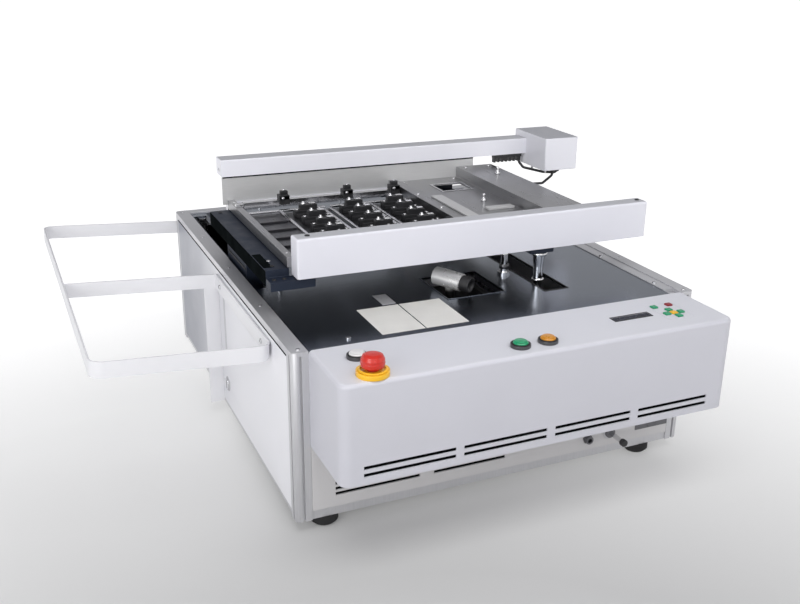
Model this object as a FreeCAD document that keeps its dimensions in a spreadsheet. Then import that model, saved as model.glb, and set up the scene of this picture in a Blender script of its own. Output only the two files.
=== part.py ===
import FreeCAD, Part
import math
import os
import re
import Sketcher

# Bench soldering machine: profile cabinet with a steel deck, a front console,
# a two-axis board carriage above the deck and a flat-bar guard on the left.
# Millimetres, +Z up, +X right, +Y to the back, floor at Z = 0.
# Local layout: X = 0 on the cabinet's centre plane, Y = 0 on its front face;
# the cells ox and oy move that to the middle of the whole outline.

doc = FreeCAD.newDocument("bench_soldering_machine")
sheet = doc.addObject("Spreadsheet::Sheet", "Dims")
CELLS = [
    ("ox", 108.25, "offset of the layout in X"),
    ("oy", -337.0, "offset of the layout in Y"),
    ("cab_w", 700, "cabinet width"),
    ("cab_d", 800, "cabinet depth"),
    ("rail_top", 293, "top of the upper rails"),
    ("rail_bot", 18, "underside of the lower rails"),
    ("post_w", 25, "corner post width"),
    ("skin", 2, "sheet thickness of panels"),
    ("deck_top", 290, "top of the deck"),
    ("deck_t", 3, "deck thickness"),
    ("con_w", 650, "console width"),
    ("con_d", 130, "console depth"),
    ("con_top", 294.5, "console top"),
    ("con_bot", 143, "console underside"),
    ("foot_r", 22, "foot radius"),
    ("foot_hi", 18, "foot height"),
    ("beam_f", 130, "front face of the front beam"),
    ("beam_d", 30, "front beam depth"),
    ("beam_lo", 353, "front beam underside"),
    ("beam_hi", 416, "front beam top"),
    ("beam_x0", -297, "front beam left end"),
    ("beam_x1", 338, "front beam right end"),
    ("rear_f", 521, "front face of the rear beam"),
    ("rear_d", 38, "rear beam depth"),
    ("rear_lo", 424, "rear beam underside"),
    ("rear_hi", 455, "rear beam top"),
    ("rear_x0", -313, "rear beam left end"),
    ("rear_x1", 319, "rear beam right end"),
    ("guard_h", 25, "guard bar height"),
    ("guard_z", 259, "guard bar mid height at the cabinet"),
    ("guard_t", 3, "guard bar thickness"),
    ("guard_tilt", 3.3, "rise of the guard, degrees"),
    ("key_w", 10, "key width"),
    ("btn_r", 11.4, "push button radius"),
    ("bez_r", 15, "push button bezel radius"),
]
for i, (alias, value, note) in enumerate(CELLS, start=1):
    sheet.set("A%d" % i, note)
    sheet.set("B%d" % i, str(value))
    sheet.setAlias("B%d" % i, alias)
doc.recompute()
V = {alias: float(value) for alias, value, note in CELLS}
OX, OY = V["ox"], V["oy"]
WORDS = re.compile(r"\b(" + "|".join(V) + r")\b")
NODES = {}
COUNT = [0]


def ex(text):
    return WORDS.sub(r"Dims.\1", str(text))


def fresh(stem):
    COUNT[0] += 1
    return "%s_%d" % (stem, COUNT[0])


def seat(obj, x, y, z):
    obj.setExpression("Placement.Base.x", ex("(%s)+ox" % x))
    obj.setExpression("Placement.Base.y", ex("(%s)+oy" % y))
    obj.setExpression("Placement.Base.z", ex("(%s)+0" % z))
    return obj


def box(x0, x1, y0, y1, z0, z1):
    obj = doc.addObject("Part::Box", fresh("box"))
    obj.setExpression("Length", ex("(%s)-(%s)" % (x1, x0)))
    obj.setExpression("Width", ex("(%s)-(%s)" % (y1, y0)))
    obj.setExpression("Height", ex("(%s)-(%s)" % (z1, z0)))
    return seat(obj, x0, y0, z0)


TURN = {"z": FreeCAD.Rotation(),
        "y": FreeCAD.Rotation(FreeCAD.Vector(1, 0, 0), -90),
        "x": FreeCAD.Rotation(FreeCAD.Vector(0, 1, 0), 90)}


def cyl(axis, r, length, x, y, z):
    obj = doc.addObject("Part::Cylinder", fresh("cyl"))
    obj.setExpression("Radius", ex("(%s)+0" % r))
    obj.setExpression("Height", ex("(%s)+0" % length))
    obj.Placement = FreeCAD.Placement(FreeCAD.Vector(), TURN[axis])
    return seat(obj, x, y, z)


def fuse(*objs):
    obj = doc.addObject("Part::MultiFuse", fresh("fuse"))
    obj.Shapes = list(objs)
    return obj


def cut(base, *tools):
    obj = doc.addObject("Part::Cut", fresh("cut"))
    obj.Base = base
    obj.Tool = tools[0] if len(tools) == 1 else group(*tools)
    return obj


def group(*objs):
    obj = doc.addObject("Part::Compound", fresh("group"))
    obj.Links = list(objs)
    return obj


def rounded(base, r, pick):
    doc.recompute()
    edges = [(i, r, r) for i, e in enumerate(base.Shape.Edges, start=1)
             if pick(e.BoundBox)]
    if not edges:
        raise RuntimeError("no edge to round on " + base.Name)
    obj = doc.addObject("Part::Fillet", fresh("round"))
    obj.Base = base
    obj.Edges = edges
    return obj


def near(a, b):
    return abs(a - b) < 0.05


def upright(bb):
    return bb.ZLength > 1 and bb.XLength < 0.05 and bb.YLength < 0.05


def plane(body, role):
    for feature in body.Origin.OriginFeatures:
        if feature.Role == role:
            return feature


def outline(sketch, points):
    n = len(points)
    for i in range(n):
        a, b = points[i], points[(i + 1) % n]
        sketch.addGeometry(Part.LineSegment(FreeCAD.Vector(a[0], a[1], 0),
                                            FreeCAD.Vector(b[0], b[1], 0)), False)
    for i in range(n):
        sketch.addConstraint(Sketcher.Constraint("Coincident", i, 2, (i + 1) % n, 1))


def turned(points, x, y, z):
    # a body of revolution about its own vertical axis, (radius, height) profile
    body = doc.addObject("PartDesign::Body", fresh("turned"))
    sketch = body.newObject("Sketcher::SketchObject", fresh("profile"))
    sketch.AttachmentSupport = [(plane(body, "XZ_Plane"), "")]
    sketch.MapMode = "FlatFace"
    outline(sketch, points)
    rev = body.newObject("PartDesign::Revolution", fresh("revolve"))
    rev.Profile = sketch
    rev.ReferenceAxis = (sketch, ["V_Axis"])
    rev.Angle = 360
    body.Tip = rev
    return seat(body, x, y, z)


def plate(wx, wy, wz, x, y, z, holes=()):
    # a sheet padded from a sketch, with rectangular cut-outs (x, y, w, d)
    body = doc.addObject("PartDesign::Body", fresh("plate"))

    def rectangle(name, x0, y0, w, d):
        sk = body.newObject("Sketcher::SketchObject", fresh(name))
        sk.AttachmentSupport = [(plane(body, "XY_Plane"), "")]
        sk.MapMode = "FlatFace"
        wv, dv = w[1], d[1]
        outline(sk, [(x0, y0), (x0 + wv, y0), (x0 + wv, y0 + dv), (x0, y0 + dv)])
        for g, kind in ((0, "Horizontal"), (1, "Vertical"), (2, "Horizontal"), (3, "Vertical")):
            sk.addConstraint(Sketcher.Constraint(kind, g))
        kx = sk.addConstraint(Sketcher.Constraint("DistanceX", 0, 1, 0, 2, wv))
        ky = sk.addConstraint(Sketcher.Constraint("DistanceY", 1, 1, 1, 2, dv))
        sk.setExpression("Constraints[%d]" % kx, ex(w[0]))
        sk.setExpression("Constraints[%d]" % ky, ex(d[0]))
        if x0 == 0 and y0 == 0:
            sk.addConstraint(Sketcher.Constraint("Coincident", 0, 1, -1, 1))
        else:
            sk.addConstraint(Sketcher.Constraint("DistanceX", -1, 1, 0, 1, x0))
            sk.addConstraint(Sketcher.Constraint("DistanceY", -1, 1, 0, 1, y0))
        return sk

    pad = body.newObject("PartDesign::Pad", fresh("pad"))
    pad.Profile = rectangle("outline", 0, 0, wx, wy)
    pad.Length = wz[1]
    pad.setExpression("Length", ex(wz[0]))
    body.Tip = pad
    doc.recompute()
    for hx, hy, hw, hd in holes:
        before = body.Shape.Volume
        pocket = body.newObject("PartDesign::Pocket", fresh("pocket"))
        pocket.Profile = rectangle("hole", hx, hy, ("%g" % hw, hw), ("%g" % hd, hd))
        pocket.Type = 1
        pocket.Reversed = True
        body.Tip = pocket
        doc.recompute()
        if before - body.Shape.Volume < 0.9 * hw * hd * wz[1]:
            pocket.Reversed = False
            doc.recompute()
        if before - body.Shape.Volume < 0.9 * hw * hd * wz[1]:
            raise RuntimeError("a cut-out missed the sheet")
    return seat(body, x, y, z)


def shaped(shape, x="0", y="0", z="0"):
    obj = doc.addObject("Part::Feature", fresh("shape"))
    obj.Shape = shape
    return seat(obj, x, y, z)


def node(name, obj):
    obj.Label = name
    NODES[name] = obj
    return obj


# ---------------------------------------------------------------- cabinet
def post(sx, y0, y1, yc):
    x0, x1 = ("-cab_w/2", "-cab_w/2+post_w") if sx < 0 else ("cab_w/2-post_w", "cab_w/2")
    b = box(x0, x1, y0, y1, "rail_bot", "rail_top")
    xe = OX + sx * V["cab_w"] / 2
    b = rounded(b, 8, lambda bb: upright(bb) and near(bb.XMin, xe) and near(bb.YMin, OY + yc))
    # outer grooves of the profile
    gx = ("-cab_w/2+10.5", "-cab_w/2+14.5") if sx < 0 else ("cab_w/2-14.5", "cab_w/2-10.5")
    if yc < 1:
        g1 = box(gx[0], gx[1], "-1", "4", "rail_bot-1", "rail_top-6")
        g2 = box("-cab_w/2-1" if sx < 0 else "cab_w/2-4", "-cab_w/2+4" if sx < 0 else "cab_w/2+1",
                 "10.5", "14.5", "rail_bot-1", "rail_top-6")
    else:
        g1 = box(gx[0], gx[1], "cab_d-4", "cab_d+1", "rail_bot-1", "rail_top-6")
        g2 = box("-cab_w/2-1" if sx < 0 else "cab_w/2-4", "-cab_w/2+4" if sx < 0 else "cab_w/2+1",
                 "cab_d-14.5", "cab_d-10.5", "rail_bot-1", "rail_top-6")
    return cut(b, g1, g2)


posts = [post(-1, "0", "post_w", 0), post(1, "0", "post_w", 0),
         post(-1, "cab_d-post_w", "cab_d", V["cab_d"]), post(1, "cab_d-post_w", "cab_d", V["cab_d"])]

left_rail = fuse(box("-cab_w/2", "-cab_w/2+post_w", "post_w", "cab_d-post_w", "rail_top-11", "rail_top"),
                 box("-cab_w/2+2.5", "-cab_w/2+22", "post_w", "cab_d-post_w", "rail_top-31", "rail_top-11"))
right_rail = fuse(box("cab_w/2-22", "cab_w/2", "post_w", "cab_d-post_w", "rail_top-11", "rail_top"),
                  box("cab_w/2-22", "cab_w/2-2.5", "post_w", "cab_d-post_w", "rail_top-31", "rail_top-11"))
rear_rail = fuse(box("-cab_w/2+post_w", "cab_w/2-post_w", "cab_d-22", "cab_d", "rail_top-11", "rail_top"),
                 box("-cab_w/2+post_w", "cab_w/2-post_w", "cab_d-22", "cab_d-2.5", "rail_top-31", "rail_top-11"))
front_rail = box("-cab_w/2+post_w", "cab_w/2-post_w", "3", "post_w", "rail_top-31", "deck_top-deck_t")
right_trim = box("308", "cab_w/2-22", "post_w", "cab_d-post_w", "deck_top-deck_t", "deck_top+1.5")
node("top_rails", group(left_rail, right_rail, rear_rail, front_rail, right_trim))

node("frame_posts", group(
    *posts,
    box("-cab_w/2+2.5", "-cab_w/2+post_w", "post_w", "cab_d-post_w", "rail_bot", "rail_bot+22"),
    box("cab_w/2-post_w", "cab_w/2-2.5", "post_w", "cab_d-post_w", "rail_bot", "rail_bot+22"),
    box("-cab_w/2+post_w", "cab_w/2-post_w", "2.5", "post_w", "rail_bot", "rail_bot+22"),
    box("-cab_w/2+post_w", "cab_w/2-post_w", "cab_d-post_w", "cab_d-2.5", "rail_bot", "rail_bot+22")))

node("side_panels", group(box("-cab_w/2", "-cab_w/2+2.5", "434.6", "cab_d-post_w-0.3", "30", "280.4"),
                          cut(box("-cab_w/2", "-cab_w/2+2.5", "post_w+0.3", "433.4", "30", "280.4"), cyl("x", "4.06", "10", "-cab_w/2-4", "402", "72")),
                          box("cab_w/2-2.5", "cab_w/2", "post_w+0.3", "cab_d-post_w-0.3", "30", "280.4")))
node("rear_panel", cut(box("-cab_w/2+post_w+0.3", "cab_w/2-post_w-0.3", "cab_d-2.5", "cab_d", "30", "280.4"),
                       cyl("y", "43", "10", "180", "cab_d-6", "150"),
                       box("-231", "-169", "cab_d-6", "cab_d+4", "58", "92")))
front_cuts = []
for z in (52, 61, 70, 79):
    front_cuts.append(box("-288", "-149", "-2", "5", str(z), str(z + 5)))
    front_cuts.append(box("-125", "2", "-2", "5", str(z), str(z + 5)))
front_cuts.append(cyl("y", "6.2", "8", "203", "-3", "58"))
node("front_panel", cut(box("-cab_w/2+post_w+0.3", "cab_w/2-post_w-0.3", "0", "2.5", "33", "261.7"), *front_cuts))
node("bottom_plate", box("-340", "340", "28", "772", "40", "42"))

deck_w = V["cab_w"] / 2 - V["post_w"] + 308
node("deck_plate", plate(("cab_w/2-post_w+308", deck_w), ("cab_d-23", V["cab_d"] - 23), ("deck_t", V["deck_t"]),
                         "-cab_w/2+post_w", "1", "deck_top-deck_t",
                         holes=((325 - 47, 122, 104, 110), (325 + 121, 99, 43, 660), (3, 284, 38, 470))))

foot = [(0.0, 0.0), (17.0, 0.0), (V["foot_r"], 5.0), (V["foot_r"], V["foot_hi"]), (0.0, V["foot_hi"])]
node("feet", group(*[turned(foot, str(x), str(y), "0") for x in (-300, 278) for y in (22, 778)]))

# ---------------------------------------------------------------- console
KEYS = {"key_left": (237, -74), "key_right": (263, -74), "key_back": (250, -61),
        "key_front": (250, -87), "key_enter": (250, -74), "key_stop": (264, -42), "key_menu": (235, -43)}
BUTTONS = {"button_start": (-41.3, -99.6), "button_cycle": (4.1, -100.0), "button_reset": (-270.6, -47.5)}
shell = box("-con_w/2", "con_w/2", "-con_d", "0", "con_bot", "con_top")
shell = rounded(shell, 16, lambda bb: upright(bb) and near(bb.YMin, OY - V["con_d"]))
shell = rounded(shell, 6, lambda bb: near(bb.ZMin, V["con_top"]) and near(bb.ZMax, V["con_top"])
                and not (near(bb.YMin, OY) and near(bb.YMax, OY)))
room = box("-con_w/2+skin", "con_w/2-skin", "-con_d+skin", "1", "con_bot+skin", "con_top-skin")
room = rounded(room, 14, lambda bb: upright(bb) and near(bb.YMin, OY - V["con_d"] + V["skin"]))
room = rounded(room, 4, lambda bb: near(bb.ZMin, V["con_top"] - V["skin"]) and near(bb.ZMax, V["con_top"] - V["skin"])
               and not (near(bb.YMin, OY + 1) and near(bb.YMax, OY + 1)))
con_cuts = [room, cyl("z", "11.3", "20", "-271", "-107", "con_top-10"),
            box("142.5", "210.5", "-71", "-56.5", "con_top-10", "con_top+5")]
for x, y in BUTTONS.values():
    con_cuts.append(cyl("z", "12.5", "20", str(x), str(y), "con_top-10"))
for x, y in KEYS.values():
    con_cuts.append(box("%g-key_w/2-0.5" % x, "%g+key_w/2+0.5" % x, "%g-key_w/2-0.5" % y, "%g+key_w/2+0.5" % y,
                        "con_top-10", "con_top+5"))
for z in (165.6, 154.4):
    for x0, x1 in ((-293, -154), (-141.6, -5.6), (8.1, 141.8), (155.7, 286.4)):
        con_cuts.append(box(str(x0), str(x1), "-con_d-3", "-con_d+5", str(z), "%g+5.6" % z))
body = shell
for tool in con_cuts:
    body = cut(body, tool)
node("console_shell", body)

node("estop_base", cut(fuse(cyl("z", "23", "7", "-271", "-107", "con_top"),
                            cyl("z", "11", "32.5", "-271", "-107", "con_top-32.5")),
                       cyl("z", "8.4", "60", "-271", "-107", "con_top-26")))
node("estop_head", turned([(0.0, 285.0), (8.0, 285.0), (8.0, 306.5), (15.4, 306.5), (16.4, 308.5),
                           (16.4, 317.5), (14.0, 322.5), (9.0, 324.6), (0.0, 325.2)], "-271", "-107", "0"))
bezels = []
for x, y in BUTTONS.values():
    ring = fuse(cyl("z", "bez_r", "5", str(x), str(y), "con_top"),
                cyl("z", "12.4", "26.5", str(x), str(y), "con_top-26.5"))
    bezels.append(cut(ring, cyl("z", "btn_r+0.4", "60", str(x), str(y), "con_top-20.5")))
node("button_bezels", group(*bezels))
for name, (x, y) in BUTTONS.items():
    r = V["btn_r"]
    node(name, turned([(0.0, 279.5), (r, 279.5), (r, 301.5), (r - 1.2, 302.7), (0.0, 303.0)], str(x), str(y), "0"))
node("lcd_module", fuse(*[box(str(x), str(x + 5), str(y), str(y + 5), "288", "con_top-skin")
                               for x in (136, 212) for y in (-82, -51)],
                        box("136", "217", "-82", "-46", "284", "288"),
                        box("143", "210", "-70.5", "-57", "288", "con_top-0.3")))
node("circuit_boards", group(box("222", "277", "-99", "-30", "279.5", "281.5"),
                             box("-150", "60", "-32", "-30", "180", "270"),
                             box("-120", "-60", "-36", "-32", "200", "250"),
                             box("-30", "40", "-40", "-32", "200", "230"),
                             *[box(str(x), str(x + 4), str(y), str(y + 4), "281.5", "con_top-skin")
                               for x in (222, 273) for y in (-99, -34)],
                             *[box(str(x), str(x + 6), "-30", "0", str(z), str(z + 6)) for x in (-150, 54) for z in (182, 262)]))
for name, (x, y) in KEYS.items():
    node(name, box("%g-key_w/2" % x, "%g+key_w/2" % x, "%g-key_w/2" % y, "%g+key_w/2" % y, "283.3", "con_top+2.5"))

# ---------------------------------------------------------------- guard
def strip(points, half, bend):
    # outline of a bar of constant thickness along a right-angled path with rounded bends
    P = [FreeCAD.Vector(x, y, 0) for x, y in points]
    dirs = [(P[i + 1] - P[i]).normalize() for i in range(len(P) - 1)]
    sides = []
    for s in (1, -1):
        nrm = [FreeCAD.Vector(-d.y, d.x, 0) * (s * half) for d in dirs]
        edges = []
        start = P[0] + nrm[0]
        for i in range(len(dirs)):
            if i == len(dirs) - 1:
                edges.append(("line", start, P[-1] + nrm[i]))
                break
            turn = dirs[i].cross(dirs[i + 1]).z
            r = bend - half * s * (1 if turn > 0 else -1)
            centre = P[i + 1] - dirs[i] * bend + dirs[i + 1] * bend
            a = centre + (dirs[i + 1] * -1) * r
            b = centre + dirs[i] * r
            mid = centre + (dirs[i] - dirs[i + 1]).normalize() * r
            edges.append(("line", start, a))
            edges.append(("arc", a, mid, b))
            start = b
        sides.append(edges)
    wire = []
    for e in sides[0]:
        wire.append(Part.LineSegment(e[1], e[2]).toShape() if e[0] == "line" else Part.Arc(e[1], e[2], e[3]).toShape())
    end0, end1 = sides[0][-1][2], sides[1][-1][2]
    wire.append(Part.LineSegment(end0, end1).toShape())
    for e in reversed(sides[1]):
        wire.append(Part.LineSegment(e[2], e[1]).toShape() if e[0] == "line" else Part.Arc(e[3], e[2], e[1]).toShape())
    wire.append(Part.LineSegment(sides[1][0][1], sides[0][0][1]).toShape())
    return Part.Face(Part.Wire(Part.__sortEdges__(wire)))


gh, gz, gt = V["guard_h"], V["guard_z"], V["guard_t"]
tilt = V["guard_tilt"]
loop = strip([(60.0, 712.0), (-255.5, 712.0), (-255.5, 0.0), (0.0, 0.0), (0.0, 344.5)], gt / 2, 18)
loop = loop.extrude(FreeCAD.Vector(0, 0, gh)).translated(FreeCAD.Vector(0, 0, -gh / 2))
loop.rotate(FreeCAD.Vector(0, 0, 0), FreeCAD.Vector(0, 1, 0), tilt)
for lug in (Part.makeBox(3.0, 20, 12, FreeCAD.Vector(0.2, 40, -6)), Part.makeBox(3.0, 20, 12, FreeCAD.Vector(0.2, 300, -6)),
            Part.makeBox(14, 2.0, 12, FreeCAD.Vector(8, 709.5, -7))):
    loop = loop.fuse(lug)
node("guard_frame", shaped(loop.removeSplitter(), "-cab_w/2-3.2", "90.5", "guard_z"))
arm = Part.makeBox(253.2, gt, gh, FreeCAD.Vector(-254.79, 0, -gh / 2))
arm.rotate(FreeCAD.Vector(0, 0, 0), FreeCAD.Vector(0, 1, 0), tilt)
leg = Part.makeBox(25.4, gt, gz + gh / 2 - 24, FreeCAD.Vector(-23, 0, -(gz - 24)))
node("guard_bracket", shaped(arm.fuse(leg).removeSplitter(), "-cab_w/2-2.4", "435", "guard_z"))

# ---------------------------------------------------------------- solder unit under the deck
# pot welded from a floor and four walls, with a heater pad on each side; the cover leaves a mouth for feeding solder
pot_floor = cut(box("-60", "70", "108", "268", "120", "128"), cyl("z", "4.06", "20", "5", "215", "115"))
pot_walls = (box("-60", "70", "108", "116", "128", "255"), box("-60", "70", "260", "268", "128", "255"),
             box("-60", "-52", "116", "260", "128", "255"), box("62", "70", "116", "260", "128", "255"))
node("pot_cover", cut(box("-62", "72", "106", "270", "255", "258"), cyl("z", "7.9", "10", "-22", "170", "250"),
                      box("2", "60", "118", "258", "250", "262")))
node("solder_pot", group(pot_floor, *pot_walls, box("-66", "-60", "128", "248", "135", "225"),
                         box("70", "76", "128", "248", "135", "225")))
pump_motor = cut(fuse(cyl("z", "28", "55", "5", "215", "42"), box("-26", "36", "184", "246", "97", "120")),
                       cyl("z", "4.4", "60", "5", "215", "90"))
blades = [cyl("z", "4", "22", "5", "215", "112.3"), cyl("z", "10", "14", "5", "215", "134")]
for k in range(4):
    a = k * math.pi / 2
    cx, cy = 5 + 15 * math.cos(a), 215 + 15 * math.sin(a)
    if k % 2 == 0:
        blades.append(box("%g-8" % cx, "%g+8" % cx, "%g-1.5" % cy, "%g+1.5" % cy, "134", "148"))
    else:
        blades.append(box("%g-1.5" % cx, "%g+1.5" % cx, "%g-8" % cy, "%g+8" % cy, "134", "148"))
node("pump_rotor", fuse(*blades))

# nozzle: riser out of the pot, barrel leaning over the cut-out, darker end ring
axis = FreeCAD.Vector(31.0, -45.0, -4.0).normalize()
p0 = FreeCAD.Vector(-39.0, 190.0, 309.0)
barrel = Part.makeCylinder(15, 50, p0, axis).cut(Part.makeCylinder(8.5, 44, p0 + axis * 8, axis))
riser = Part.makeCylinder(7.8, 50, FreeCAD.Vector(-22, 170, 250)).cut(Part.makeCylinder(4.5, 54, FreeCAD.Vector(-22, 170, 248)))
head = barrel.fuse(riser.cut(Part.makeCylinder(14.9, 50, p0, axis))).removeSplitter()
ring = Part.makeCylinder(12.4, 17, p0 + axis * 50.0, axis).cut(Part.makeCylinder(8.0, 18, p0 + axis * 49.5, axis))
node("solder_nozzle", group(shaped(head), shaped(ring)))
deck_pins = (cut(cyl("z", "6", "36", "100", "205", "deck_top"), cyl("z", "2", "40", "100", "205", "deck_top+6")),
                          cut(cyl("z", "11", "4", "100", "205", "deck_top"), cyl("z", "6", "10", "100", "205", "deck_top-2")),
                          cyl("z", "4", "28", "-276", "303", "deck_top"))

# ---------------------------------------------------------------- electrics and fittings
node("power_supply", cut(box("-310", "-150", "560", "745", "42", "125"), box("-308", "-152", "562", "743", "44", "123")))
housing = cut(box("132", "228", "cab_d-28", "cab_d-2.5", "102", "198"), cyl("y", "44", "60", "180", "cab_d-40", "150"))
struts = fuse(cyl("y", "16", "4", "180", "cab_d-28", "150"), box("134", "226", "cab_d-28", "cab_d-24.5", "148", "152"),
              box("178", "182", "cab_d-28", "cab_d-24.5", "104", "196"))
node("fan_housing", fuse(housing, struts))
fan = [cyl("y", "17", "19", "180", "cab_d-23.5", "150")]
for k in range(5):
    blade = Part.makeBox(26, 2, 15, FreeCAD.Vector(14, -1, -7.5))
    blade.rotate(FreeCAD.Vector(14, 0, 0), FreeCAD.Vector(1, 0, 0), 35)
    blade.rotate(FreeCAD.Vector(0, 0, 0), FreeCAD.Vector(0, 0, 1), 72 * k)
    blade.rotate(FreeCAD.Vector(0, 0, 0), FreeCAD.Vector(1, 0, 0), -90)
    fan.append(shaped(blade, "180", "cab_d-14", "150"))
node("fan_rotor", fuse(*fan))
node("mains_inlet", cut(fuse(box("-230", "-170", "cab_d-30", "cab_d", "59", "91"), box("-236", "-164", "cab_d", "cab_d+2.5", "53", "97")),
                        box("-226", "-200", "cab_d-20", "cab_d+5", "66", "84"),
                        box("-192", "-178", "cab_d-12", "cab_d+5", "63", "87")))
rocker = rounded(box("-191", "-179", "cab_d-8", "cab_d+4", "65", "85"), 2,
                             lambda bb: bb.XLength > 5 and near(bb.YMax, OY + V["cab_d"] + 4))
node("power_switch", fuse(rocker, cyl("x", "2", "13.6", "-191.8", "cab_d-2", "75")))
node("front_fittings", group(cut(cyl("y", "9", "6", "203", "-6", "58"), cyl("y", "4.06", "20", "203", "-10", "58")),
                             cut(cyl("y", "7", "9", "159.5", "-9", "54"), cyl("y", "4", "7", "159.5", "-10", "54")),
                             box("257", "324", "-0.8", "0", "50", "62")))
node("drain_rod", fuse(cyl("y", "4", "70", "203", "-42", "58"), cyl("y", "5.5", "8", "203", "-46", "58")))

# ---------------------------------------------------------------- Y axis under the deck
node("y_rails", group(box("-312", "-298", "290", "745", "240", "254"), box("127", "141", "66", "765", "240", "254"),
                      box("-312", "-298", "745", "775", "240", "287"), box("127", "141", "765", "775", "240", "287"),
                      box("-312", "-298", "262", "290", "240", "254"), box("-312", "-298", "262", "283", "254", "287"), box("127", "141", "50", "66", "240", "287")))
node("y_screw", fuse(cyl("y", "5", "680", "134", "64", "215"), cyl("y", "9", "10", "134", "60", "215"),
                     cyl("y", "9", "8", "134", "729", "215")))
node("drive_motors", group(pump_motor, cut(box("113", "155", "740", "770", "194", "236"), cyl("y", "5.4", "10", "134", "736", "215")),
                      box("120", "148", "750", "770", "42", "194")))


def guide(x0, x1, y0, y1, zb, rx0, rx1):
    return cut(box(x0, x1, y0, y1, zb, "262"), box(rx0, rx1, "%s-1" % y0, "%s+1" % y1, zb + "-1", "254.4"))


left_guide = guide("-319", "-291", "350", "480", "232", "-312.4", "-297.6")
front_guide = cut(box("119", "149", "118", "176", "203", "262"), box("126.6", "141.4", "117", "177", "239.6", "254.4"),
                  cyl("y", "5.3", "80", "134", "110", "215"))
rear_guide = guide("119", "149", "508", "562", "238", "126.6", "141.4")
node("y_blocks", group(left_guide, front_guide, rear_guide))
left_beam = fuse(box("-337", "-300", "163", "524", "336", "362"), box("-337", "-266", "138", "163", "336", "350"),
                 box("-337", "-266", "524", "560", "336", "350"), box("-319", "-291", "350", "480", "262", "336"))
right_beam = fuse(box("112", "157", "163", "524", "342", "362"), box("112", "157", "138", "163", "343", "350"),
                  box("112", "157", "524", "560", "343", "350"))
node("side_beams", group(left_beam, right_beam))
flare = [(0.0, 262.0), (8.0, 262.0), (8.0, 300.0), (8.6, 318.0), (10.4, 333.0), (11.4, 343.0), (0.0, 343.0)]
node("stage_columns", group(turned(flare, "134", "147", "0"), turned(flare, "134", "536", "0")))
node("x_rails", group(fuse(box("-294", "157", "139", "155", "357", "373"), box("-293", "-268", "141", "153", "350", "357"),
                           box("116", "150", "141", "153", "350", "357")),
                      fuse(box("-302", "157", "532", "548", "357", "373"), box("-300", "-268", "534", "546", "350", "357"),
                           box("116", "150", "534", "546", "350", "357"))))
node("x_nut", cut(fuse(box("-62", "-38", "537", "547", "373", "430"), box("-62", "-38", "532", "552", "428", "450")),
                  cyl("x", "5.3", "40", "-70", "542", "439.5")))

# ---------------------------------------------------------------- carriage
fb = box("beam_x0", "beam_x1", "beam_f", "beam_f+beam_d", "beam_lo", "beam_hi")
fb = rounded(fb, 4, lambda bb: (near(bb.ZMin, V["beam_hi"]) and near(bb.ZMax, V["beam_hi"]))
             or (upright(bb) and near(bb.YMin, OY + V["beam_f"])))
node("front_beam", cut(fb, box("beam_x0+skin", "beam_x1+1", "beam_f+skin", "beam_f+beam_d-skin", "beam_lo-1", "beam_hi-skin")))
rb = box("rear_x0", "rear_x1", "rear_f", "rear_f+rear_d", "rear_lo", "rear_hi")
rb = rounded(rb, 2.5, lambda bb: near(bb.ZMin, V["rear_hi"]) and near(bb.ZMax, V["rear_hi"]) and bb.XLength > 100)
node("rear_beam", cut(rb, box("rear_x0+skin", "rear_x1+1", "rear_f+skin", "rear_f+rear_d-skin", "rear_lo-1", "rear_hi-skin")))
node("rear_plate", box("rear_x0", "199", "rear_f+2", "rear_f+4", "372", "rear_lo"))
left_strip = box("-304", "-292", "beam_f+beam_d", "rear_f+2", "364.3", "381")
node("carriage_bars", group(left_strip, box("14", "30", "beam_f+beam_d", "rear_f+2", "364.3", "392")))
tray = fuse(box("30", "163", "beam_f+beam_d", "rear_f+2", "385", "387"), box("161", "163", "beam_f+beam_d", "rear_f+2", "385", "407"),
            box("161", "239", "beam_f+beam_d", "rear_f+2", "405", "407"), box("237", "239", "beam_f+beam_d", "rear_f+2", "390", "407"))
node("tray_plate", cut(tray, box("84", "144", "420", "470", "380", "390")))
node("motor_box", cut(rounded(box("319", "394", "443", "566", "402", "467"), 3,
                              lambda bb: near(bb.YMin, OY + 443) and near(bb.YMax, OY + 443)),
                      box("321", "392", "445", "564", "404", "465"),
                      box("318", "323", "523", "557", "424", "453")))
node("x_motor", cut(box("342", "392", "521", "563", "418.5", "460.5"), cyl("x", "5.4", "10", "336", "542", "439.5")))
node("x_screw", fuse(cyl("x", "5", "648", "-303", "542", "439.5"), cyl("x", "8.5", "10", "-306", "542", "439.5")))


def xblock(x0, x1, y0, y1, ytop, rail0, rail1):
    return cut(box(x0, x1, y0, ytop, "358", "390"), box("%s-1" % x0, "%s+1" % x1, rail0, rail1, "350", "373.4"))


node("x_blocks", group(xblock("0", "50", "132", "158", "158", "138.6", "155.4"), xblock("105", "155", "132", "158", "158", "138.6", "155.4"),
                       xblock("0", "50", "525", "534", "534.5", "531.6", "560"), xblock("105", "155", "525", "534", "534.5", "531.6", "560")))
node("pallet_plate", cut(box("-292", "14", "180", "452", "364.3", "367"), box("-142", "-138", "190", "440", "360", "370")))
blocks = []
for cx in (-185, -98, -17):
    for cy in (231, 277, 323, 372, 418):
        blocks.append(fuse(box("%g-26" % cx, "%g+26" % cx, "%g-7" % cy, "%g+7" % cy, "367", "379"),
                           box("%g-16" % cx, "%g+16" % cx, "%g-4" % cy, "%g+7" % cy, "379", "388")))
node("pallet_blocks", group(*blocks))


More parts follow.
